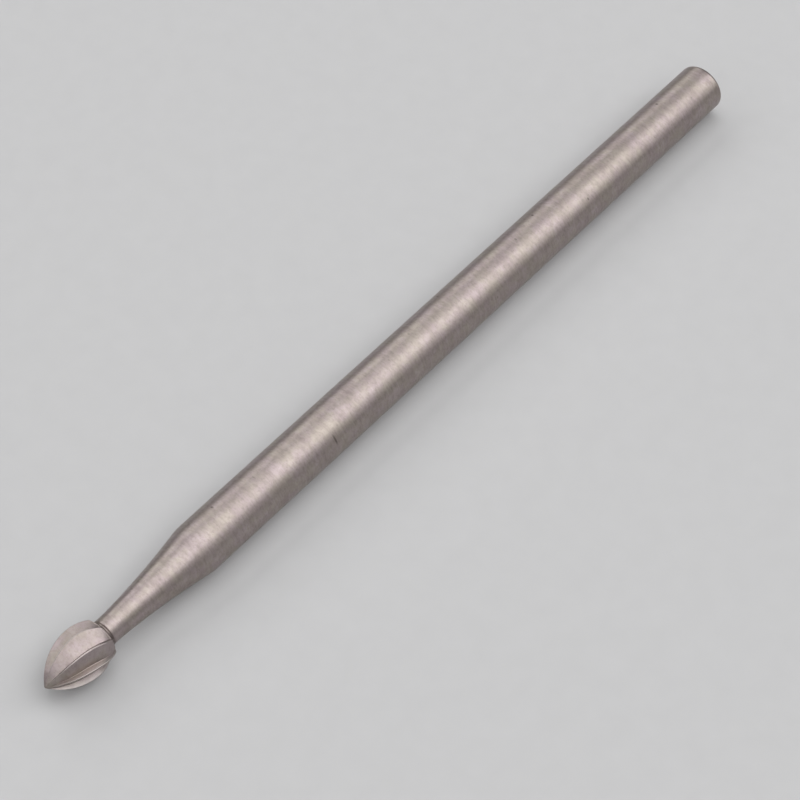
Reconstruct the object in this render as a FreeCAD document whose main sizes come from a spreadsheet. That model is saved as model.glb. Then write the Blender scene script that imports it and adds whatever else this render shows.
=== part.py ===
import FreeCAD, Part

import math
import os

import Sketcher

# A dental bur for a straight handpiece, turned and milled from one steel rod.
# It lies along X with the pointed head at -X and the straight shank at +X.
# The head is a bud: a pointed nose arc and a round shoulder arc that share one tangent at the widest circle.
# The shoulder ends at a sharp rim, and a short steep cone leads from the rim down to the crease.
# Eight saw-tooth blades are milled into it. Each flute is a V with a long back face and a short rake face.
# The flutes run straight from the point, then sweep round more and more, and run out over the rim.

# Every driving size, in millimetres, degrees or a plain share: name, value, what it is.
DRIVING_SIZES = (
    ("overall_length", 44.5, "from the point to the flat end of the shank"),
    ("shank_diameter", 2.35, "straight handpiece shank"),
    ("end_rounding", 0.2, "rounded edge at the shank's flat end"),
    ("head_diameter", 2.3, "over the blades at their widest"),
    ("head_length", 3.27, "from the point to the crease behind the head"),
    ("widest_from_tip", 2.2, "from the point to the widest circle"),
    ("rim_diameter", 1.84, "sharp rim at the back of the head"),
    ("rim_setback", 0.13, "from the rim to the crease, along the axis"),
    ("point_diameter", 0.07, "small flat that blunts the point"),
    ("neck_diameter", 1.22, "thinnest part, just behind the head"),
    ("neck_length", 0.63, "straight part of the neck, crease included"),
    ("crease_width", 0.14, "turned crease between head and neck, along the axis"),
    ("crease_depth", 0.05, "crease, below the neck"),
    ("taper_length", 4.85, "from the neck to the shank"),
    ("taper_arc_radius", 40.0, "hollow arc of the taper"),
    ("taper_blend_radius", 3.0, "soft corner where the taper meets the shank"),
    ("blade_count", 8, "blades round the head"),
    ("flute_depth_share", 0.28, "depth of a flute as a share of the head's radius there"),
    ("rake_turn", 2.7, "turn from the bottom of a flute to the next cutting edge, degrees"),
    ("land_turn", 2.5, "narrow round land behind each cutting edge, degrees"),
    ("sweep_turn", 31.0, "turn of a blade from the point to the crease, degrees"),
    ("sweep_power", 4.0, "how late along the head the sweep comes, 1 for a plain helix"),
    ("first_edge_turn", 28.6, "turn of the first cutting edge round the axis, degrees"),
)

# Where the flute's V is drawn, as shares of the nose or of the shoulder, with its share of the full depth.
# The flute is deepest along the nose and grows shallow towards the rim.
# None stands for a V that lies wholly outside the blank, so that the flute fades out at the point.
DEPTH_AT_RIM = 0.335
NOSE_STATIONS = ((0.04, None), (0.12, 0.8), (0.3, 1.0), (0.5, 1.0), (0.75, 0.95), (1.0, 0.745))
SHOULDER_STATIONS = ((0.35, 0.54), (0.7, 0.39), (1.0, DEPTH_AT_RIM))
CLEAR_OF_BLANK = 1.1

# How far the V reaches past the blank, so that each cut leaves cleanly: shares of its walls and the radius.
BACK_FACE_OVERRUN = 0.1
RAKE_FACE_OVERRUN = 0.5
MOUTH_REACH = 1.5

# The V's corners as first drawn, before the sheet moves them: shares of the radius and of one blade's turn.
FIRST_CORNERS = ((1.04, 0.06), (0.76, 0.88), (1.1, 1.03), (MOUTH_REACH, 0.5))

SAME_PLACE = 1e-6
ALIKE_WITHIN = 0.1

doc = FreeCAD.newDocument("dental_bur")
sheet = doc.addObject("Spreadsheet::Sheet", "Sizes")
size = {}
for row, (alias, value, meaning) in enumerate(DRIVING_SIZES, start=1):
    sheet.set(f"A{row}", meaning)
    sheet.set(f"B{row}", str(value))
    sheet.setAlias(f"B{row}", alias)
    size[alias] = value
doc.recompute()


def origin_feature(body, role):
    """The body's own plane or axis with this role."""
    return next(feature for feature in body.Origin.OriginFeatures if feature.Role == role)


def bind(sketch, kind, places, expression, value):
    """Adds a dimension between two points of the sketch and ties it to the sheet."""
    index = sketch.addConstraint(Sketcher.Constraint(kind, *places, value))
    sketch.setExpression(f"Constraints[{index}]", expression)


def level_arc_radius(run, drop):
    """Radius of an arc that starts level and falls by drop over a run."""
    return (run**2 + drop**2) / (2 * drop)


def arc_between(centre_x, centre_y, start, end):
    """An arc about a centre, counter-clockwise from start to end."""
    centre = FreeCAD.Vector(centre_x, centre_y, 0)
    circle = Part.Circle(centre, FreeCAD.Vector(0, 0, 1), (start - centre).Length)
    angles = [math.atan2(point.y - centre_y, point.x - centre_x) for point in (start, end)]
    return Part.ArcOfCircle(circle, *angles)


# The bur, one body. Its own axis is X with the point at the origin, and its placement lays it on the ground.
bur = doc.addObject("PartDesign::Body", "Bur")
bur.Label = "bur"
bur.setExpression("Placement.Base.x", "-Sizes.overall_length / 2")
bur.setExpression("Placement.Base.z", "Sizes.shank_diameter / 2")

# Half outline of the turned blank, from the point along the head, crease, neck, taper and shank.
head_radius = size["head_diameter"] / 2
neck_radius = size["neck_diameter"] / 2
shank_radius = size["shank_diameter"] / 2
point_radius = size["point_diameter"] / 2
nose_radius = level_arc_radius(size["widest_from_tip"], head_radius - point_radius)
rim_radius = size["rim_diameter"] / 2
rim_place = size["head_length"] - size["rim_setback"]
shoulder_radius = level_arc_radius(rim_place - size["widest_from_tip"], head_radius - rim_radius)
crease_radius = level_arc_radius(size["crease_width"] / 2, size["crease_depth"])
taper_start = size["head_length"] + size["neck_length"]
taper_end = taper_start + size["taper_length"]

point_rim = FreeCAD.Vector(0, point_radius, 0)
widest = FreeCAD.Vector(size["widest_from_tip"], head_radius, 0)
rim = FreeCAD.Vector(rim_place, rim_radius, 0)
head_back = FreeCAD.Vector(size["head_length"], neck_radius, 0)
neck_front = FreeCAD.Vector(size["head_length"] + size["crease_width"], neck_radius, 0)
neck_back = FreeCAD.Vector(taper_start, neck_radius, 0)
shank_front = FreeCAD.Vector(taper_end, shank_radius, 0)
shank_back = FreeCAD.Vector(size["overall_length"], shank_radius, 0)
axis_end = FreeCAD.Vector(size["overall_length"], 0, 0)
axis_front = FreeCAD.Vector(0, 0, 0)

# The taper's arc centre lies outside the bur, on the line halfway between its two ends.
taper_chord = shank_front - neck_back
taper_middle = (shank_front + neck_back) / 2
centre_distance = math.sqrt(size["taper_arc_radius"] ** 2 - (taper_chord.Length / 2) ** 2)
outward = FreeCAD.Vector(-taper_chord.y, taper_chord.x, 0).normalize()
taper_centre = taper_middle + outward * centre_distance

outline = bur.newObject("Sketcher::SketchObject", "BlankOutline")
outline.AttachmentSupport = [(origin_feature(bur, "XZ_Plane"), "")]
outline.MapMode = "FlatFace"
nose, shoulder, back, crease, neck, taper, shank, end_face, axis, point = outline.addGeometry(
    [
        arc_between(widest.x, head_radius - nose_radius, widest, point_rim),
        arc_between(widest.x, head_radius - shoulder_radius, rim, widest),
        Part.LineSegment(rim, head_back),
        arc_between(
            (head_back.x + neck_front.x) / 2,
            neck_radius - size["crease_depth"] + crease_radius,
            head_back,
            neck_front,
        ),
        Part.LineSegment(neck_front, neck_back),
        arc_between(taper_centre.x, taper_centre.y, neck_back, shank_front),
        Part.LineSegment(shank_front, shank_back),
        Part.LineSegment(shank_back, axis_end),
        Part.LineSegment(axis_end, axis_front),
        Part.LineSegment(axis_front, point_rim),
    ],
    False,
)
START, END, CENTRE = 1, 2, 3
for first, first_end, second, second_end in (
    (nose, START, shoulder, END),
    (shoulder, START, back, START),
    (back, END, crease, START),
    (crease, END, neck, START),
    (neck, END, taper, START),
    (taper, END, shank, START),
    (shank, END, end_face, START),
    (end_face, END, axis, START),
    (axis, END, point, START),
    (point, END, nose, END),
):
    outline.addConstraint(Sketcher.Constraint("Coincident", first, first_end, second, second_end))
outline.addConstraint(Sketcher.Constraint("Coincident", point, START, -1, 1))
outline.addConstraint(Sketcher.Constraint("Horizontal", axis))
outline.addConstraint(Sketcher.Constraint("Vertical", point))
outline.addConstraint(Sketcher.Constraint("Vertical", end_face))
outline.addConstraint(Sketcher.Constraint("Horizontal", shank))
outline.addConstraint(Sketcher.Constraint("Horizontal", neck))
outline.addConstraint(Sketcher.Constraint("Vertical", nose, CENTRE, nose, START))
outline.addConstraint(Sketcher.Constraint("Vertical", shoulder, CENTRE, shoulder, END))
bind(outline, "DistanceY", (-1, 1, nose, END), "Sizes.point_diameter / 2", point_radius)
bind(outline, "DistanceX", (-1, 1, nose, START), "Sizes.widest_from_tip", widest.x)
bind(outline, "DistanceY", (-1, 1, nose, START), "Sizes.head_diameter / 2", head_radius)
bind(outline, "DistanceY", (-1, 1, back, START), "Sizes.rim_diameter / 2", rim_radius)
bind(outline, "DistanceX", (back, START, back, END), "Sizes.rim_setback", size["rim_setback"])
bind(outline, "DistanceX", (-1, 1, crease, START), "Sizes.head_length", head_back.x)
bind(outline, "DistanceY", (-1, 1, crease, START), "Sizes.neck_diameter / 2", neck_radius)
bind(outline, "DistanceX", (crease, START, crease, END), "Sizes.crease_width", size["crease_width"])
outline.addConstraint(Sketcher.Constraint("Horizontal", crease, START, crease, END))
bind(
    outline,
    "Radius",
    (crease,),
    "(Sizes.crease_width ^ 2 / 4 + Sizes.crease_depth ^ 2) / (2 * Sizes.crease_depth)",
    crease_radius,
)
bind(outline, "DistanceX", (-1, 1, neck, END), "Sizes.head_length + Sizes.neck_length", neck_back.x)
bind(outline, "DistanceX", (taper, START, taper, END), "Sizes.taper_length", size["taper_length"])
bind(outline, "DistanceY", (-1, 1, shank, START), "Sizes.shank_diameter / 2", shank_radius)
bind(outline, "Radius", (taper,), "Sizes.taper_arc_radius", size["taper_arc_radius"])
bind(outline, "DistanceX", (-1, 1, shank, END), "Sizes.overall_length", size["overall_length"])

blank = bur.newObject("PartDesign::Revolution", "TurnedBlank")
blank.Profile = outline
blank.ReferenceAxis = (outline, ["H_Axis"])
blank.Angle = 360
doc.recompute()


def circular_edge(shape, x, radius):
    """Name of the round edge at this place along the axis with this radius."""
    for number, edge in enumerate(shape.Edges, start=1):
        if edge.Degenerated or not isinstance(edge.Curve, Part.Circle):
            continue
        if abs(edge.Curve.Radius - radius) < SAME_PLACE and abs(edge.Curve.Center.x - x) < SAME_PLACE:
            return f"Edge{number}"
    raise RuntimeError(f"no round edge at {x} mm")


# The soft corner between taper and shank, and the rounded edge of the shank's end.
for name, edge_x, radius_alias in (
    ("TaperBlend", taper_end, "taper_blend_radius"),
    ("EndRounding", size["overall_length"], "end_rounding"),
):
    base = bur.Tip
    rounding = bur.newObject("PartDesign::Fillet", name)
    rounding.Base = (base, [circular_edge(base.Shape, edge_x, shank_radius)])
    rounding.setExpression("Radius", f"Sizes.{radius_alias}")
    doc.recompute()


# Expressions for the blank's radius at a place along the head, on the nose arc or on the shoulder arc.
NOSE_DROP = "((Sizes.head_diameter - Sizes.point_diameter) / 2)"
NOSE_ARC = f"((Sizes.widest_from_tip ^ 2 + {NOSE_DROP} ^ 2) / (2 * {NOSE_DROP}))"
SHOULDER_RUN = "(Sizes.head_length - Sizes.rim_setback - Sizes.widest_from_tip)"
SHOULDER_DROP = "((Sizes.head_diameter - Sizes.rim_diameter) / 2)"
SHOULDER_ARC = f"(({SHOULDER_RUN} ^ 2 + {SHOULDER_DROP} ^ 2) / (2 * {SHOULDER_DROP}))"
PITCH = "(360 / Sizes.blade_count)"


def head_radius_at(arc, run):
    """Expression for the head's radius on one of its arcs, at a distance along it from the widest circle."""
    return f"(sqrt({arc} ^ 2 - ({run}) ^ 2) - {arc} + Sizes.head_diameter / 2)"


def flute_section(name, along, radius, depth_share):
    """One V of the flute, drawn across the axis: back face, rake face and an open mouth outside the blank."""
    if depth_share is None:
        radius, depth_share = f"{CLEAR_OF_BLANK} * {radius}", 0
    valley_share = f"(1 - Sizes.flute_depth_share * {depth_share})"
    valley_turn = f"({PITCH} - Sizes.rake_turn)"
    valley = (f"{valley_share} * cos({valley_turn})", f"{valley_share} * sin({valley_turn})")
    back_edge = ("cos(Sizes.land_turn)", "sin(Sizes.land_turn)")
    rake_edge = (f"cos({PITCH})", f"sin({PITCH})")
    mouth = (f"{MOUTH_REACH} * cos({PITCH} / 2)", f"{MOUTH_REACH} * sin({PITCH} / 2)")

    def past(edge, overrun):
        """The point beyond an edge on the line from the bottom of the V."""
        return tuple(f"({e}) + {overrun} * (({e}) - ({v}))" for e, v in zip(edge, valley))

    corners = (past(back_edge, BACK_FACE_OVERRUN), valley, past(rake_edge, RAKE_FACE_OVERRUN), mouth)
    pitch = 2 * math.pi / size["blade_count"]
    drawn = [
        FreeCAD.Vector(share * math.cos(turn * pitch), share * math.sin(turn * pitch), 0)
        for share, turn in FIRST_CORNERS
    ]
    section = bur.newObject("Sketcher::SketchObject", name)
    section.AttachmentSupport = [(origin_feature(bur, "YZ_Plane"), "")]
    section.MapMode = "FlatFace"
    section.setExpression(".AttachmentOffset.Base.z", along)
    sweep = f"Sizes.sweep_turn * pow(({along}) / Sizes.head_length; Sizes.sweep_power)"
    section.setExpression(".AttachmentOffset.Rotation.Angle", f"Sizes.first_edge_turn + {sweep}")
    walls = [Part.LineSegment(corner, following) for corner, following in zip(drawn, drawn[1:] + drawn[:1])]
    edges = section.addGeometry(walls, False)
    for edge, following, (x, y), corner in zip(edges, edges[1:] + edges[:1], corners, drawn):
        section.addConstraint(Sketcher.Constraint("Coincident", edge, END, following, START))
        bind(section, "DistanceX", (-1, 1, edge, START), f"{radius} * ({x})", corner.x)
        bind(section, "DistanceY", (-1, 1, edge, START), f"{radius} * ({y})", corner.y)
    return section


# The stations of one flute, from just behind the point to the rim. The last V keeps the rim's size as far as
# the crease, where it lies wholly outside the neck.
sections = []
for share, depth_share in NOSE_STATIONS:
    along = f"{share} * Sizes.widest_from_tip"
    radius = head_radius_at(NOSE_ARC, f"(1 - {share}) * Sizes.widest_from_tip")
    sections.append(flute_section(f"FluteNose{len(sections)}", along, radius, depth_share))
for share, depth_share in SHOULDER_STATIONS:
    along = f"Sizes.widest_from_tip + {share} * {SHOULDER_RUN}"
    radius = head_radius_at(SHOULDER_ARC, f"{share} * {SHOULDER_RUN}")
    sections.append(flute_section(f"FluteShoulder{len(sections)}", along, radius, depth_share))
sections.append(flute_section("FluteEnd", "Sizes.head_length", "Sizes.rim_diameter / 2", DEPTH_AT_RIM))
doc.recompute()

uncut = bur.Tip
flute = bur.newObject("PartDesign::SubtractiveLoft", "Flute")
flute.Profile = sections[0]
flute.Sections = sections[1:]
flute.Ruled = False
doc.recompute()

blades = bur.newObject("PartDesign::PolarPattern", "Blades")
blades.Originals = [flute]
blades.Axis = (origin_feature(bur, "X_Axis"), [""])
blades.Angle = 360
blades.setExpression("Occurrences", "Sizes.blade_count")
bur.Tip = blades
doc.recompute()

for item in doc.Objects:
    if "Invalid" in item.State or "Error" in item.State:
        raise RuntimeError(f"{item.Label} did not build: {item.State}")
shape = bur.Shape
if shape.isNull() or not shape.isValid() or len(shape.Solids) != 1:
    raise RuntimeError("the bur isn't one sound solid")
one_flute = uncut.Shape.Volume - flute.Shape.Volume
all_flutes = uncut.Shape.Volume - shape.Volume
print(f"one flute takes {one_flute:.5f} mm3, all of them {all_flutes:.5f} mm3")
if one_flute <= 0 or abs(all_flutes / one_flute - size["blade_count"]) > ALIKE_WITHIN:
    raise RuntimeError("the flutes don't cut alike")

os.makedirs("parts", exist_ok=True)
shape.exportStep("parts/bur.step")
box = shape.optimalBoundingBox()
print(f"bur: {box.XLength:.3f} x {box.YLength:.3f} x {box.ZLength:.3f} mm, {shape.Volume:.3f} mm3")
print(f"faces {len(shape.Faces)}, edges {len(shape.Edges)}")
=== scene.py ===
# %% [markdown]
# # A bud-shaped dental bur in satin steel
#
# The object is one piece of steel: a pointed head with eight milled blades, a slim neck, a hollow taper
# and a straight shank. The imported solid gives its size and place. This script gives it a fine skin,
# a turned and milled steel finish, a plain pale floor and soft light.

import math

import bpy
import numpy as np
from mathutils import Matrix, Vector


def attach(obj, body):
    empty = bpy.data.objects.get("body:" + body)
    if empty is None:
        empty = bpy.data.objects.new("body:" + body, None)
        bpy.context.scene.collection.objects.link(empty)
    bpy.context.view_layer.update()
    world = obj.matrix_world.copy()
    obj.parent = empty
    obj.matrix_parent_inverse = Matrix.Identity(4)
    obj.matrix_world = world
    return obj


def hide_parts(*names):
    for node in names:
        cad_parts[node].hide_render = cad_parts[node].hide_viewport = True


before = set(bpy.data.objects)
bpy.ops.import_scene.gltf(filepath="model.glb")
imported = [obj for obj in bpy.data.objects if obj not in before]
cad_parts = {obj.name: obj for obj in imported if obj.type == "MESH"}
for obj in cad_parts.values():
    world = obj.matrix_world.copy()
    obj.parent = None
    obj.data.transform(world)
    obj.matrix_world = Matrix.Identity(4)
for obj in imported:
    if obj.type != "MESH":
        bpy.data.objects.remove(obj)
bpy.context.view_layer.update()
MM = 0.001


# %% [markdown]
# ## The turned outline
#
# A lathe gives the bur its round outline, so the first thing to work out is that outline: a row of points,
# each a distance along the axis and a radius. It could be drawn by hand, but here each stretch is the
# straight line or the arc that the solid has, worked out with numpy. More points go where the outline
# bends most.

# %% Sizes in millimetres, as in the solid
LENGTH, SHANK_RADIUS, END_ROUNDING = 44.5, 1.175, 0.2
HEAD_RADIUS, HEAD_LENGTH, WIDEST, POINT_RADIUS = 1.15, 3.27, 2.2, 0.035
RIM_PLACE, RIM_RADIUS = 3.14, 0.92
NECK_RADIUS, NECK_END, CREASE_WIDTH, CREASE_DEPTH = 0.61, 3.9, 0.14, 0.05
TAPER_END, TAPER_ARC, TAPER_BLEND = 8.75, 40.0, 3.0


# %% The outline's arcs
def level_arc(run, drop):
    """Radius of an arc that starts level and falls by drop over run: half of (run squared plus drop
    squared) over drop."""
    return (run**2 + drop**2) / (2 * drop)


def bulge(x, arc, top_x, top_r):
    """Height of an arc whose top lies at (top_x, top_r): the top less the arc's radius, plus the root of
    the radius squared less the distance from the top squared."""
    return np.sqrt(arc**2 - (x - top_x) ** 2) - arc + top_r


nose_arc = level_arc(WIDEST, HEAD_RADIUS - POINT_RADIUS)
shoulder_arc = level_arc(RIM_PLACE - WIDEST, HEAD_RADIUS - RIM_RADIUS)
crease_arc = level_arc(CREASE_WIDTH / 2, CREASE_DEPTH)
arcs = (nose_arc, shoulder_arc, crease_arc)
print("nose, shoulder and crease arcs in mm:", [round(arc, 3) for arc in arcs])

# %% The taper's hollow arc and its soft corner
# The hollow arc joins the neck's end to the taper's end. Its centre lies square to the middle of that
# chord, outside the metal, at the root of the arc's radius squared less half the chord squared.
chord = np.array([TAPER_END - NECK_END, SHANK_RADIUS - NECK_RADIUS])
chord_length = np.hypot(*chord)
square_to_chord = np.array([-chord[1], chord[0]]) / chord_length
centre_offset = math.sqrt(TAPER_ARC**2 - chord_length**2 / 4)
taper_centre = np.array([NECK_END, NECK_RADIUS]) + chord / 2 + square_to_chord * centre_offset

# The soft corner touches the shank's line from within and the hollow arc from the other side. So the two
# centres are as far apart as both radii together, and the arcs meet on the line between the centres.
both_radii = TAPER_ARC + TAPER_BLEND
blend_height = SHANK_RADIUS - TAPER_BLEND
blend_x = taper_centre[0] + math.sqrt(both_radii**2 - (taper_centre[1] - blend_height) ** 2)
blend_start = taper_centre[0] + (blend_x - taper_centre[0]) * TAPER_ARC / both_radii
print("soft corner from", round(blend_start, 3), "to", round(blend_x, 3), "mm")

# %% How many points each stretch gets
NOSE_POINTS, NOSE_EASE, SHOULDER_POINTS, BACK_POINTS = 96, 1.35, 56, 12
CREASE_POINTS, NECK_POINTS, TAPER_POINTS, SOFT_POINTS = 10, 18, 70, 16
SHANK_POINTS, ROUNDING_POINTS, FACE_POINTS = 120, 10, 8
POINT_RING = 0.6  # share of the point's radius where its small flat has a ring of its own
# Rings close before and after the rim, in millimetres from it, keep it sharp.
BEFORE_RIM, AFTER_RIM, AFTER_RIM_END = (0.008, 0.002), (0.0, 0.002, 0.006), 0.014


def stretch(start, end, count, ease=1.0):
    """count places from start up to end, without the end itself: start plus the whole run times the share
    of the way, raised to the power of ease, so that over one they bunch at the start."""
    return start + (end - start) * (np.arange(count) / count) ** ease


# %% The whole outline
def outline():
    """The row of (distance, radius) points: a pole, the point's small flat, nose, shoulder, rim, back cone,
    crease, neck, taper, soft corner, shank, the quarter round at its end and the flat end face back to the
    axis. The cone is a straight line, and each round stretch is its arc's centre plus or less the root of
    the radius squared less the distance from the centre squared."""
    nose = stretch(0, WIDEST, NOSE_POINTS, NOSE_EASE)
    shoulder = np.append(stretch(WIDEST, RIM_PLACE, SHOULDER_POINTS), RIM_PLACE - np.array(BEFORE_RIM))
    cone = stretch(RIM_PLACE + AFTER_RIM_END, HEAD_LENGTH, BACK_POINTS)
    back = np.append(RIM_PLACE + np.array(AFTER_RIM), cone)
    crease = stretch(HEAD_LENGTH, HEAD_LENGTH + CREASE_WIDTH, CREASE_POINTS)
    from_crease = crease - HEAD_LENGTH - CREASE_WIDTH / 2
    neck = stretch(HEAD_LENGTH + CREASE_WIDTH, NECK_END, NECK_POINTS)
    taper = stretch(NECK_END, blend_start, TAPER_POINTS)
    soft = stretch(blend_start, blend_x, SOFT_POINTS)
    shank = stretch(blend_x, LENGTH - END_ROUNDING, SHANK_POINTS)
    quarter = np.linspace(0, math.pi / 2, ROUNDING_POINTS)
    face = SHANK_RADIUS - END_ROUNDING
    rows = [
        (np.zeros(2), np.array([0.0, POINT_RADIUS * POINT_RING])),
        (nose, bulge(nose, nose_arc, WIDEST, HEAD_RADIUS)),
        (shoulder, bulge(shoulder, shoulder_arc, WIDEST, HEAD_RADIUS)),
        (back, RIM_RADIUS + (NECK_RADIUS - RIM_RADIUS) * (back - RIM_PLACE) / (HEAD_LENGTH - RIM_PLACE)),
        (crease, NECK_RADIUS - CREASE_DEPTH + crease_arc - np.sqrt(crease_arc**2 - from_crease**2)),
        (neck, np.full(neck.size, NECK_RADIUS)),
        (taper, taper_centre[1] - np.sqrt(TAPER_ARC**2 - (taper - taper_centre[0]) ** 2)),
        (soft, blend_height + np.sqrt(TAPER_BLEND**2 - (soft - blend_x) ** 2)),
        (shank, np.full(shank.size, SHANK_RADIUS)),
        (LENGTH - END_ROUNDING * (1 - np.sin(quarter)), face + END_ROUNDING * np.cos(quarter)),
        (np.full(FACE_POINTS, LENGTH), face * np.linspace(1, 0, FACE_POINTS + 1)[1:]),
    ]
    return [np.concatenate(column) for column in zip(*rows)]


line_x, line_r = outline()
print("outline:", line_x.size, "points")

# %% [markdown]
# ## The blades
#
# Each flute is milled as a V: a long back face that falls away behind a narrow land, and a short steep
# rake face that rises to the next cutting edge. The usual way is to cut a profile out of the solid with a
# boolean, which leaves rough edges. Here the skin is a grid of two parameters, the place along the outline
# and the turn round the axis, and the V only lowers the radius. The grid's lines twist with the blades, so
# every cutting edge lies on a line of the grid and stays sharp.

# %% The blades' numbers
# The depth is a share of the radius there, and the turns are in degrees. Near SHALLOW_FROM millimetres
# from the point the V loses the share SHALLOW_BY of its depth, over a few times SHALLOW_SOON millimetres.
BLADES, FLUTE_DEPTH, RAKE_TURN, LAND_TURN = 8, 0.28, 2.7, 2.5
FIRST_EDGE, SWEEP_TURN, SWEEP_POWER = 28.6, 31.0, 4.0
SHALLOW_FROM, SHALLOW_SOON, SHALLOW_BY = 2.35, 0.27, 0.7

# Places along the head in millimetres, and at each how far the V reaches and how deep it goes, as shares.
V_PLACES = np.append(np.array([0.01, 0.1, 0.3]) * WIDEST, HEAD_LENGTH)
V_REACH = np.array([1.05, 1.0, 1.0, 1.0])
V_DEPTH = np.array([0.0, 0.8, 1.0, 1.0])
print("the V's places in mm:", V_PLACES.round(3))


# %% How deep the V goes
def eased(x, places, values):
    """Values between places, with a soft start and stop in each gap: three times the share of the way
    squared, less twice its cube."""
    gap = np.clip(np.searchsorted(places, x, side="right") - 1, 0, places.size - 2)
    t = np.clip((x - places[gap]) / (places[gap + 1] - places[gap]), 0, 1)
    return values[gap] + (values[gap + 1] - values[gap]) * t * t * (3 - 2 * t)


def flute_depth(x):
    """Depth of the V as a share of the radius. It grows from nothing at the point to its full share along
    the nose, then falls by seven tenths on an S-shaped curve: one over one plus e to the power of minus
    the distance over the curve's width."""
    fall = SHALLOW_BY / (1 + np.exp(-(x - SHALLOW_FROM) / SHALLOW_SOON))
    return FLUTE_DEPTH * eased(x, V_PLACES, V_DEPTH) * (1 - fall)


depths = flute_depth(np.array([WIDEST, RIM_PLACE]))
print("depth as a share, at the widest circle and at the rim:", depths.round(3))


# %% The V across the axis
def v_corner(radius, turn):
    """A corner of the V at this radius and turn: radius times cosine and radius times sine."""
    turn = math.radians(turn)
    return np.stack([radius * math.cos(turn), radius * math.sin(turn)], -1)


def ray_to_line(turn, start, end):
    """Distance from the axis, at each turn, to the line through two corners: the corners' cross product
    over the cross product of the turn's direction with the line's own direction."""
    run = end - start
    direction = np.stack([np.cos(turn), np.sin(turn)], -1)
    over = start[..., 0] * run[..., 1] - start[..., 1] * run[..., 0]
    under = direction[..., 0] * run[..., 1] - direction[..., 1] * run[..., 0]
    with np.errstate(invalid="ignore"):  # at a pole the V has no size, and no cut is taken from it
        return over / under


# %% Turns round one blade, in degrees from its cutting edge
# They lie close together on the narrow land and by the valley, and further apart on the long back face.
PITCH = 360 / BLADES
VALLEY = PITCH - RAKE_TURN
turns = np.array([0, 0.25, 0.8, 1.6, 2.2, 2.5, 2.9, 3.8, 6, 10, 15, 20, 25, 30, 35, 39, 41.3, VALLEY,
                  42.6, 43.1, 43.7, 44.3, 44.8])
round_turns = (turns[None] + PITCH * np.arange(BLADES)[:, None]).ravel()
print(round_turns.size, "turns round the axis")


# %% The skin as a function of the two parameters
def skin(x, r, turn):
    """Radius and turn of the skin. The radius is the lesser of the turned outline and the V at that turn
    within the blade. Behind the rim the V keeps the rim's size, so that it runs out over the back cone.
    The turn is the first edge's, plus the grid's own, plus the sweep, which grows with the fourth power of
    the way along the head and then stays."""
    along = np.clip(x / HEAD_LENGTH, 0, 1)[:, None]
    in_blade = np.radians(turn % PITCH)[None]
    reach = (np.where(x > RIM_PLACE, RIM_RADIUS, r) * eased(x, V_PLACES, V_REACH))[:, None]
    share = 1 - flute_depth(x)[:, None]
    valley = v_corner(reach * share, VALLEY)
    back = ray_to_line(in_blade, v_corner(reach, LAND_TURN), valley)
    rake = ray_to_line(in_blade, valley, v_corner(reach, PITCH))
    cut = np.where(in_blade < math.radians(VALLEY), back, rake)
    on_head = (x < V_PLACES[-1])[:, None] & (x > V_PLACES[0])[:, None]
    milled = on_head & (in_blade > math.radians(LAND_TURN))
    radius = np.where(milled, np.minimum(cut, r[:, None]), r[:, None])
    whole_turn = np.radians(FIRST_EDGE + turn[None] + SWEEP_TURN * along**SWEEP_POWER)
    return radius, whole_turn


radius, whole_turn = skin(line_x, line_r, round_turns)
cut_depth = line_r[:, None] - radius
print("deepest cut in mm:", round(float(cut_depth.max()), 3))

# %% [markdown]
# ## The mesh
#
# The grid becomes a mesh of four-sided faces. Its two end rows lie on the axis, so they would be many
# points in one place. They are made one point each, a pole, and a fan of triangles closes the skin there.


# %% From grid to mesh
def closed_skin(name, points):
    """A closed mesh from rows of points round an axis. The first and last row are each one pole. Seen from
    outside, each face's corners run anticlockwise, so the faces point outwards."""
    rows, count = points.shape[:2]
    middle = points[1:-1].reshape(-1, 3)
    coords = np.concatenate([points[0, :1], middle, points[-1, :1]])
    grid = 1 + np.arange((rows - 2) * count).reshape(rows - 2, count)
    a, b = grid[:-1], np.roll(grid[:-1], -1, 1)
    c, d = np.roll(grid[1:], -1, 1), grid[1:]
    quads = np.stack([a, b, c, d], -1).reshape(-1, 4)
    last = len(coords) - 1
    front = np.stack([np.zeros(count, int), np.roll(grid[0], -1), grid[0]], -1)
    back = np.stack([np.full(count, last), grid[-1], np.roll(grid[-1], -1)], -1)
    mesh = bpy.data.meshes.new(name)
    mesh.from_pydata(coords, [], quads.tolist() + front.tolist() + back.tolist())
    mesh.shade_smooth()
    mesh.update()
    return mesh


def in_place(x, radius, whole_turn):
    """Points in metres in the solid's frame: the axis lies along X at the height of the shank's radius, and
    a point lies radius times cosine to the side and radius times sine up from it."""
    side = radius * np.cos(whole_turn)
    rise = radius * np.sin(whole_turn)
    along = np.broadcast_to(x[:, None], radius.shape)
    return np.stack([along - LENGTH / 2, side, rise + SHANK_RADIUS], -1) * MM


def new_object(name, data):
    """An object in the scene that shows this mesh, lamp or camera."""
    made = bpy.data.objects.new(name, data)
    bpy.context.scene.collection.objects.link(made)
    return made


# %% The bur's skin
bur_mesh = closed_skin("bur_skin", in_place(line_x, radius, whole_turn))
bur = new_object("bur_skin", bur_mesh)
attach(bur, "root")
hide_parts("bur")
print(bur.name, len(bur_mesh.polygons), "faces")


# %% Which way the faces point
def per_face(name, width):
    """One measure of every face, in this many columns."""
    values = np.zeros(len(bur_mesh.polygons) * width)
    bur_mesh.polygons.foreach_get(name, values)
    return values.reshape(-1, width)


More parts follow.
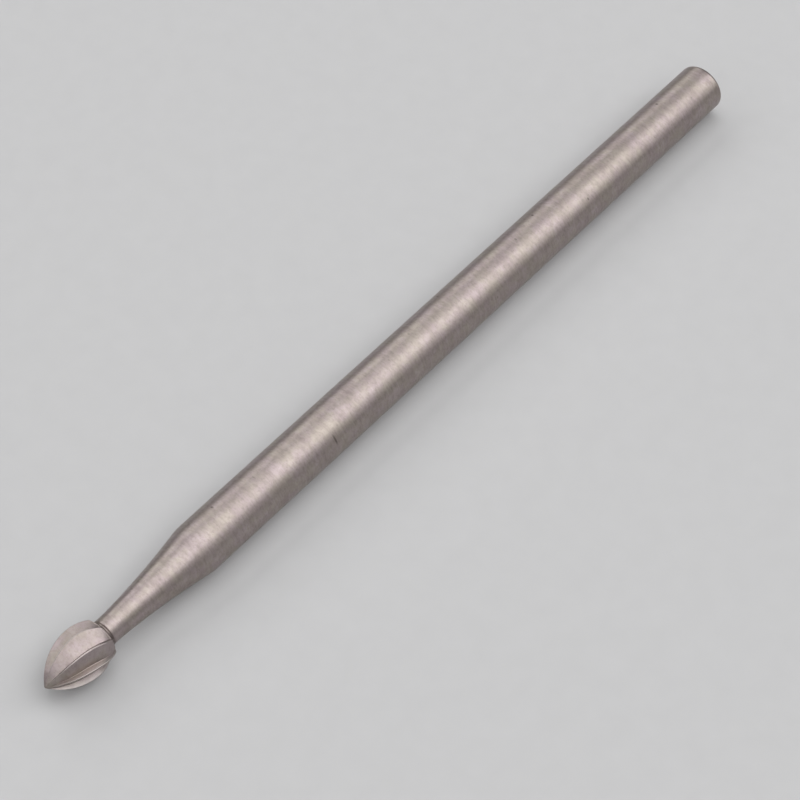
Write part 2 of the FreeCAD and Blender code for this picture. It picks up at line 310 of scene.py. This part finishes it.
# The volume in a closed skin is a third of the sum of each face's centre, times its normal, times its area.
# It is above nought only when the faces point outwards.
heights = (per_face("center", 3) * per_face("normal", 3)).sum(1)
volume = (heights * per_face("area", 1)[:, 0]).sum() / 3
print("volume within the skin in mm3:", round(float(volume / MM**3), 2))

# %% [markdown]
# ## Marks and a map on the skin
#
# The finish has to know where the milled head ends, where the cutting edges get a painted highlight, and
# where painted shade and the darker point go.
# This could be painted by hand. Here the same sizes that shaped the skin also give three numbers for each
# point, so the marks lie exactly on the edges and in the crease.

# %% How wide the marks are
HEAD_FADE, CREASE_FADE, POINT_FADE = 0.02, 0.07, 0.25  # millimetres
FULL_CUT = 0.1  # millimetres of milled depth that count as fully milled
EDGE_FADE, VALLEY_FADE = 1.2, 2.5  # degrees of turn
VALLEY_SHADE, POINT_DARKENING = 0.1, 0.35  # shares of the crease's painted shade, for the painted shade in the valleys and the darkening at the point


def bell(distance, width):
    """One at no distance, falling off to both sides: e to the power of minus the square of the distance
    over the width."""
    return np.exp(-((distance / width) ** 2))


def per_point(name, values):
    """Keeps one number for each point of the mesh, for the finish to read. Each pole takes the first of its
    row."""
    kept = np.concatenate([values[0, :1], values[1:-1].ravel(), values[-1, :1]]).astype(np.float32)
    bur_mesh.attributes.new(name, "FLOAT", "POINT").data.foreach_set("value", kept)


# %% Marks for the finish
every_point = np.ones_like(cut_depth)
from_edge = round_turns % PITCH
head_mark = np.clip((HEAD_LENGTH - line_x) / HEAD_FADE, 0, 1)[:, None] * every_point
milled_here = np.clip(cut_depth.max(1) / FULL_CUT, 0, 1)[:, None] * head_mark
# A painted highlight along the cutting edges.
edge_highlight_mark = bell(np.minimum(from_edge, PITCH - from_edge), EDGE_FADE)[None] * milled_here
valley_mark = bell(from_edge - VALLEY, VALLEY_FADE)[None] * milled_here
crease_mark = bell(line_x - HEAD_LENGTH - CREASE_WIDTH / 2, CREASE_FADE)[:, None] * every_point
point_mark = np.exp(-line_x / POINT_FADE)[:, None] * every_point
# Painted shade in the valleys and the crease, and a darkening at the point.
painted_shade_and_dark_point = np.maximum(np.maximum(VALLEY_SHADE * valley_mark, crease_mark), POINT_DARKENING * point_mark)
per_point("head", head_mark)
per_point("edge", edge_highlight_mark)
per_point("painted_shade_and_dark_point", painted_shade_and_dark_point)
print("marks:", [kept.name for kept in bur_mesh.attributes if kept.data_type == "FLOAT"])

# %% The finish's own map: the way along the outline, and the turn round the axis
MAP_LENGTH, MAP_ROUND = 100, 7.2  # millimetres that the map's unit stands for, along and round
AFTER_SEAM, BEFORE_SEAM = 0.1, 0.9  # a face with turns on both these sides crosses the map's seam

steps = np.hypot(np.diff(line_x), np.diff(line_r))
along_line = np.concatenate([[0], np.cumsum(steps)])
vertex = np.zeros(len(bur_mesh.loops), int)
bur_mesh.loops.foreach_get("vertex_index", vertex)
row = np.clip((vertex - 1) // round_turns.size + 1, 0, line_x.size - 1)
row[vertex == 0] = 0
column = np.where(vertex == 0, 0, (vertex - 1) % round_turns.size)
turn_share = round_turns[column] / 360

# The corners just past the seam get one whole turn more, so that their face doesn't run back over the map.
corners_of = np.zeros(len(bur_mesh.polygons), int)
bur_mesh.polygons.foreach_get("loop_total", corners_of)
face_of = np.repeat(np.arange(len(bur_mesh.polygons)), corners_of)
furthest = np.zeros(len(bur_mesh.polygons))
np.maximum.at(furthest, face_of, turn_share)
past_seam = (furthest[face_of] > BEFORE_SEAM) & (turn_share < AFTER_SEAM)
uv = np.stack([along_line[row] / MAP_LENGTH, turn_share + past_seam], -1)
bur_mesh.uv_layers.new(name="surface").data.foreach_set("uv", uv.astype(np.float32).ravel())
print("outline length in mm:", round(float(along_line[-1]), 2))

# %% [markdown]
# ## The steel
#
# The shank is ground and turned steel, a warm grey with fine rings across the axis, faint mottling and a
# few dark specks. The blades are milled, so their faces have lines along the flute. A painted highlight
# brightens the cutting edges, painted shade darkens the grooves and the crease, and the point is painted
# darker. A picture could be wrapped round it, but noise worked out from the place on the object has no seam
# and stays sharp from near by.


# %% Helpers for a finish
def new_finish(name):
    """An empty finish with its shader and output."""
    material = bpy.data.materials.new(name)
    material.use_nodes = True
    tree = material.node_tree
    tree.nodes.clear()
    shader = tree.nodes.new("ShaderNodeBsdfPrincipled")
    output = tree.nodes.new("ShaderNodeOutputMaterial")
    tree.links.new(shader.outputs["BSDF"], output.inputs["Surface"])
    return material, tree, shader


def put(tree, socket, value):
    """Sets a socket to a number or colour, or joins it to another node's result."""
    if isinstance(value, bpy.types.NodeSocket):
        tree.links.new(value, socket)
    else:
        socket.default_value = value


def maths(tree, operation, a, b):
    """Two numbers added, taken away, multiplied or compared, as the operation says."""
    node = tree.nodes.new("ShaderNodeMath")
    node.operation = operation
    put(tree, node.inputs[0], a)
    put(tree, node.inputs[1], b)
    return node.outputs[0]


def spread(tree, value, low, high, new_low=0.0, new_high=1.0):
    """A value taken from one range to another in a straight line, and held there."""
    node = tree.nodes.new("ShaderNodeMapRange")
    put(tree, node.inputs["Value"], value)
    put(tree, node.inputs["From Min"], low)
    put(tree, node.inputs["From Max"], high)
    put(tree, node.inputs["To Min"], new_low)
    put(tree, node.inputs["To Max"], new_high)
    return node.outputs["Result"]


def blend_colour(tree, share, first, second):
    """One colour turning into another as share goes from nought to one."""
    node = tree.nodes.new("ShaderNodeMix")
    node.data_type = "RGBA"
    put(tree, node.inputs["Factor"], share)
    put(tree, node.inputs["A"], first)
    put(tree, node.inputs["B"], second)
    return node.outputs["Result"]


def scaled(tree, vector, scale, place=(0, 0, 0)):
    """Coordinates stretched by scale about the origin and moved."""
    node = tree.nodes.new("ShaderNodeMapping")
    put(tree, node.inputs["Vector"], vector)
    node.inputs["Location"].default_value = place
    node.inputs["Scale"].default_value = scale
    return node.outputs["Vector"]


def noise(tree, vector, scale, detail=2.0, roughness=0.5):
    """Soft noise, nought to one."""
    node = tree.nodes.new("ShaderNodeTexNoise")
    put(tree, node.inputs["Vector"], vector)
    node.inputs["Scale"].default_value = scale
    node.inputs["Detail"].default_value = detail
    node.inputs["Roughness"].default_value = roughness
    return node.outputs["Fac"]


def mark(tree, name):
    """A number kept on the mesh's points."""
    node = tree.nodes.new("ShaderNodeAttribute")
    node.attribute_name = name
    return node.outputs["Fac"]


# %% The steel's own pattern
# Places on the bur are in millimetres from the axis. Squeezing them across the axis stretches the noise
# round it, as a turning tool does. The milled lines follow the map instead, along the flutes, and the
# map's seam lies on a cutting edge, where it can't show. TINT_PLACE only takes the tint from another part
# of the noise.
TINT_PLACE = (7.3, 2.1, 4.9)

steel, tree, shader = new_finish("turned_steel")
coordinates = tree.nodes.new("ShaderNodeTexCoord")
here = scaled(tree, coordinates.outputs["Object"], (1 / MM, 1 / MM, 1 / MM), (0, 0, -SHANK_RADIUS))
surface = scaled(tree, coordinates.outputs["UV"], (MAP_LENGTH, MAP_ROUND, 1))
head = mark(tree, "head")
# The edge mark brings a painted highlight onto the cutting edges.
edge = mark(tree, "edge")
# This mark brings painted shade into the valleys and the crease, and darkens the point.
shade_and_dark_point = mark(tree, "painted_shade_and_dark_point")
shaft = maths(tree, "SUBTRACT", 1.0, head)

dashes = noise(tree, scaled(tree, here, (1.0, 0.2, 0.2)), scale=6.5, detail=3.0, roughness=0.65)
fine_rings = noise(tree, scaled(tree, here, (1.0, 0.05, 0.05)), scale=20.0, detail=2.0, roughness=0.6)
mottle = noise(tree, here, scale=1.5, detail=4.0, roughness=0.6)
tint = noise(tree, scaled(tree, here, (1.0, 1.0, 1.0), TINT_PLACE), scale=1.1, detail=5.0, roughness=0.7)
grain = noise(tree, scaled(tree, here, (1.0, 0.6, 0.6)), scale=9.0, detail=3.0, roughness=0.7)
mill_lines = noise(tree, scaled(tree, surface, (0.12, 1.0, 1.0)), scale=14.0, detail=2.0, roughness=0.6)
print("patterns: dashes, rings, mottle, tint, grain and milled lines")

# %% Specks
# Each cell of a cell pattern has one point. The speck is what lies near it, and a slow noise lets only a
# few of them show.
SPECK_CELLS = (1.3, 0.8, 0.8)  # cells in a millimetre, along and across the axis
SPECK_SIZE, RARE = (0.03, 0.09), (0.5, 0.56)  # in cells, and the slow noise's values

cells = tree.nodes.new("ShaderNodeTexVoronoi")
put(tree, cells.inputs["Vector"], scaled(tree, here, SPECK_CELLS))
cells.inputs["Scale"].default_value = 1.0
near_point = spread(tree, cells.outputs["Distance"], *SPECK_SIZE, 1.0, 0.0)
rare = spread(tree, noise(tree, here, scale=0.9, detail=1.0), *RARE)
specks = maths(tree, "MULTIPLY", maths(tree, "MULTIPLY", near_point, rare), shaft)
print("specks reach", round(SPECK_SIZE[1] / SPECK_CELLS[0], 2), "mm from their middles along the axis")

# %% One scratch
# It is an oval on the map: the distance from its middle, with each way counted in the scratch's own size.
SCRATCH_X, SCRATCH_TURN, SCRATCH_SIZE, SCRATCH_FADE = 16.55, 86.4, (0.06, 0.27), (0.4, 1.1)

scratch_at = (float(np.interp(SCRATCH_X, line_x, along_line)), SCRATCH_TURN / 360 * MAP_ROUND)
place = [-at / reach for at, reach in zip(scratch_at, SCRATCH_SIZE)]
nearby = scaled(tree, surface, (1 / SCRATCH_SIZE[0], 1 / SCRATCH_SIZE[1], 0), (*place, 0))
from_scratch = tree.nodes.new("ShaderNodeVectorMath")
from_scratch.operation = "LENGTH"
put(tree, from_scratch.inputs[0], nearby)
scratch = spread(tree, from_scratch.outputs["Value"], *SCRATCH_FADE, 1.0, 0.0)
flaws = maths(tree, "MAXIMUM", specks, scratch)
print("scratch at", [round(at, 2) for at in scratch_at], "mm along the outline and round")

# %% Colour
STEEL_LIGHT = (0.405, 0.343, 0.345, 1)
STEEL_TAN = (0.39, 0.348, 0.308, 1)
STEEL_WARM = (0.30, 0.25, 0.238, 1)
STEEL_SHADE = (0.235, 0.193, 0.183, 1)
# Dark colour for the specks and the scratch, and also for the painted shade in the valleys and the crease
# and the darker point.
STEEL_DIRT_AND_SHADE = (0.10, 0.08, 0.07, 1)
# The colour of the painted highlight along the cutting edges.
STEEL_EDGE_HIGHLIGHT = (0.50, 0.465, 0.45, 1)
# The noise values between which each pattern sets in, and the share of the new colour that it reaches.
TINT_FROM, MOTTLE_FROM, DASH_FROM, GRAIN_FROM = (0.4, 0.6), (0.35, 0.7), (0.42, 0.66), (0.46, 0.74)
MOTTLE_SHARE, DASH_SHARE, GRAIN_SHARE = 0.5, 0.28, 0.55
# The second share sets how far the painted shade in the valleys and the crease, and the darkening at the
# point, go; the third sets the painted highlight on the cutting edges.
FLAW_SHARE, SHADE_AND_POINT_SHARE, EDGE_HIGHLIGHT_SHARE = 0.75, 0.55, 0.7

dash_tone = maths(tree, "MULTIPLY", spread(tree, dashes, *DASH_FROM, 0.0, DASH_SHARE), shaft)
colour = blend_colour(tree, spread(tree, tint, *TINT_FROM), STEEL_LIGHT, STEEL_TAN)
for share, second in (
    (spread(tree, mottle, *MOTTLE_FROM, 0.0, MOTTLE_SHARE), STEEL_WARM),
    (dash_tone, STEEL_SHADE),
    (spread(tree, grain, *GRAIN_FROM, 0.0, GRAIN_SHARE), STEEL_SHADE),
    (maths(tree, "MULTIPLY", flaws, FLAW_SHARE), STEEL_DIRT_AND_SHADE),
    # Painted shade in the valleys and the crease, and a darker point.
    (maths(tree, "MULTIPLY", shade_and_dark_point, SHADE_AND_POINT_SHARE), STEEL_DIRT_AND_SHADE),
    # A painted highlight along the cutting edges.
    (maths(tree, "MULTIPLY", edge, EDGE_HIGHLIGHT_SHARE), STEEL_EDGE_HIGHLIGHT),
):
    colour = blend_colour(tree, share, colour, second)
put(tree, shader.inputs["Base Color"], colour)
shader.inputs["Metallic"].default_value = 1.0
print("six layers of colour over the tint")

# %% Gloss and relief
ROUGH_MOTTLE_FROM, ROUGH_MOTTLE = (0.3, 0.7), (0.38, 0.44)
ROUGH_DASH_FROM, ROUGH_DASH = (0.35, 0.65), (-0.02, 0.03)
ROUGH_FLAW = 0.2
RING_RELIEF, MILL_RELIEF, GRAIN_RELIEF = 0.5, 0.5, 0.35  # shares of the dashes' relief
BUMP_STRENGTH, BUMP_DISTANCE = 0.6, 0.000008  # share, and metres

rough = maths(tree, "ADD", spread(tree, mottle, *ROUGH_MOTTLE_FROM, *ROUGH_MOTTLE),
              spread(tree, dashes, *ROUGH_DASH_FROM, *ROUGH_DASH))
rough = maths(tree, "ADD", rough, maths(tree, "MULTIPLY", flaws, ROUGH_FLAW))
put(tree, shader.inputs["Roughness"], rough)

lines = tree.nodes.new("ShaderNodeMix")
put(tree, lines.inputs["Factor"], head)
put(tree, lines.inputs["A"], maths(tree, "ADD", dashes, maths(tree, "MULTIPLY", fine_rings, RING_RELIEF)))
put(tree, lines.inputs["B"], maths(tree, "MULTIPLY", mill_lines, MILL_RELIEF))
relief = maths(tree, "ADD", lines.outputs["Result"], maths(tree, "MULTIPLY", grain, GRAIN_RELIEF))
relief = maths(tree, "SUBTRACT", relief, flaws)
bump = tree.nodes.new("ShaderNodeBump")
bump.inputs["Strength"].default_value = BUMP_STRENGTH
bump.inputs["Distance"].default_value = BUMP_DISTANCE
put(tree, bump.inputs["Height"], relief)
put(tree, shader.inputs["Normal"], bump.outputs["Normal"])
bur_mesh.materials.append(steel)
print(steel.name, len(tree.nodes), "nodes")

# %% [markdown]
# ## Floor and light
#
# A plain pale sheet carries the bur, wide enough that the steel reflects nothing else low down. Satin steel
# shows each lamp as a soft band, so the lamps' places decide how the shank looks. Small lamps would draw
# thin hard lines on it. Here six broad ones stand far off round the bur: two high ones make the bright band
# along the shank, one beyond each flank lights the sides, and one beyond each end lights the point and the
# flat end. The world adds a faint fill.

# %% Floor
FLOOR_HALF = 6.0
FLOOR_SHADE, FLOOR_LIGHT = (0.49, 0.49, 0.495, 1), (0.52, 0.52, 0.525, 1)

corners = [(x * FLOOR_HALF, y * FLOOR_HALF, 0) for x, y in ((-1, -1), (1, -1), (1, 1), (-1, 1))]
floor_mesh = bpy.data.meshes.new("floor")
floor_mesh.from_pydata(corners, [], [(0, 1, 2, 3)])
floor = new_object("floor", floor_mesh)
paper, tree, shader = new_finish("pale_floor")
coordinates = tree.nodes.new("ShaderNodeTexCoord")
fibres = noise(tree, coordinates.outputs["Object"], scale=900.0, detail=3.0)
put(tree, shader.inputs["Base Color"], blend_colour(tree, fibres, FLOOR_SHADE, FLOOR_LIGHT))
shader.inputs["Roughness"].default_value = 0.9
shader.inputs["Specular IOR Level"].default_value = 0.2
floor_mesh.materials.append(paper)
print("floor", 2 * FLOOR_HALF, "m wide")


# %% Lamps
def soft_lamp(name, place, target, size, radiance):
    """A broad rectangular lamp at a place, facing a target. Its power is the radiance times pi times its
    area."""
    data = bpy.data.lights.new(name, "AREA")
    data.shape = "RECTANGLE"
    data.size, data.size_y = size
    data.energy = radiance * math.pi * size[0] * size[1]
    lamp = new_object(name, data)
    lamp.location = place
    lamp.rotation_euler = (Vector(target) - Vector(place)).to_track_quat("-Z", "Y").to_euler()
    lamp.visible_camera = False
    print(name, "gives", round(data.energy, 2), "W")


# Place, target and size are in metres, and the last number is the radiance.
soft_lamp("overhead", (0.24, 0.12, 1.20), (0.24, 0.12, 0), (1.20, 0.88), 1.9)
soft_lamp("key_strip", (0.16, -0.66, 1.10), (0, 0, 0), (2.50, 0.72), 2.1)
soft_lamp("back_left", (0.08, 1.00, 0.80), (0, 0, 0), (2.50, 0.72), 1.6)
soft_lamp("front_right", (1.08, -0.80, 0.68), (0, 0, 0), (0.80, 0.64), 1.5)
soft_lamp("far_side", (-1.44, 0.08, 0.68), (0, 0, 0), (2.00, 0.96), 0.8)
soft_lamp("low_front", (0.10, -1.20, 0.52), (0, 0, 0), (2.40, 0.80), 0.35)
world = bpy.data.worlds.new("studio")
bpy.context.scene.world = world
world.use_nodes = True
world.node_tree.nodes["Background"].inputs["Color"].default_value = (1.0, 0.98, 0.97, 1)
world.node_tree.nodes["Background"].inputs["Strength"].default_value = 0.08

# %% [markdown]
# ## The camera
#
# The photograph looks down on the bur from its head, about fifty degrees above the floor. The camera
# stands where the photographer's lens was, and a longer lens lets the bur fill the picture.

# %% Camera
CAMERA_PLACE = (-55.475, -47.164, 89.50)  # millimetres
RIGHT, UP = (0.64603, -0.76330, -0.00388), (0.59814, 0.50307, 0.62382)
AHEAD = (0.47423, 0.40531, -0.78156)
SENSOR, PHOTO_LENS, LONGER = 36.0, 50.85, 2.3  # millimetres, and how much longer this lens is
NEAR, FAR = 0.001, 10.0  # metres

camera_data = bpy.data.cameras.new("camera")
camera = new_object("camera", camera_data)
camera.location = Vector(CAMERA_PLACE) * MM
camera.rotation_mode = "QUATERNION"
turned = Matrix([RIGHT, UP, [-value for value in AHEAD]]).transposed()
camera.rotation_quaternion = turned.to_quaternion()
camera_data.sensor_width = SENSOR
camera_data.lens = PHOTO_LENS * LONGER
camera_data.clip_start, camera_data.clip_end = NEAR, FAR
bpy.context.scene.camera = camera
bpy.context.scene.view_settings.view_transform = "Standard"
print("camera looks down by", round(math.degrees(math.asin(-AHEAD[2])), 1), "degrees")
